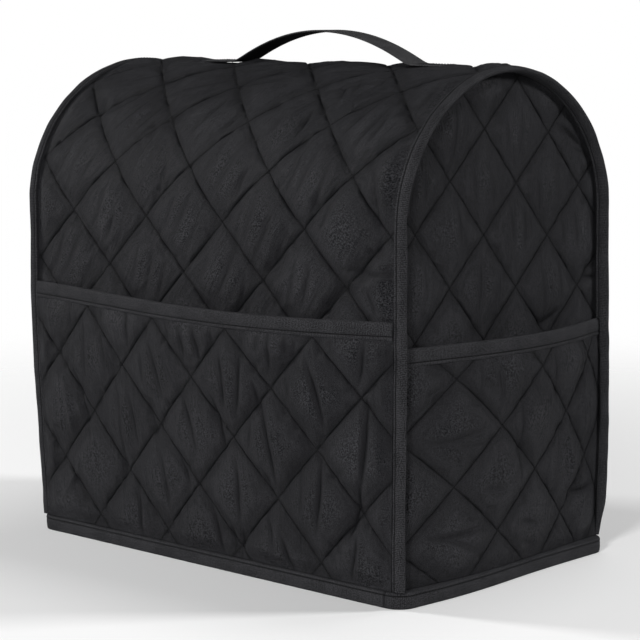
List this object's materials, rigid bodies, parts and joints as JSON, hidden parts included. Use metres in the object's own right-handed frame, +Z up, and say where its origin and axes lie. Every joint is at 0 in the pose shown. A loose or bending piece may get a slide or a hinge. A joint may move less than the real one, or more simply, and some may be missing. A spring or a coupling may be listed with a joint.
{
  "type": "stand mixer cover",
  "caption": "Quilted dust cover for a stand mixer, open below, with an arched top, bound edges, a webbing handle, a front pocket and a side pocket.",
  "frame": {"origin": "middle of the box's bottom face, on the plane that the hem stands on", "axes": "+Z up, +X along the front towards the side with the side pocket, -Y out of the front with the wide pocket"},
  "size_m": [0.4106, 0.2721, 0.4095],
  "materials": {
    "quilted_cloth": "black woven polyester with a soft satin sheen, diamond quilted",
    "binding_tape": "matt black ribbed tape",
    "handle_webbing": "black twill webbing"
  },
  "bodies": {
    "root": {"wrap_panel": "quilted_cloth", "side_panel_right": "quilted_cloth", "side_panel_left": "quilted_cloth", "front_pocket": "quilted_cloth", "side_pocket": "quilted_cloth", "front_pocket_binding": "binding_tape", "side_pocket_binding": "binding_tape", "edge_binding_right": "binding_tape", "edge_binding_left": "binding_tape", "hem_binding": "binding_tape", "handle_strap": "handle_webbing"}
  },
  "joints": []
}
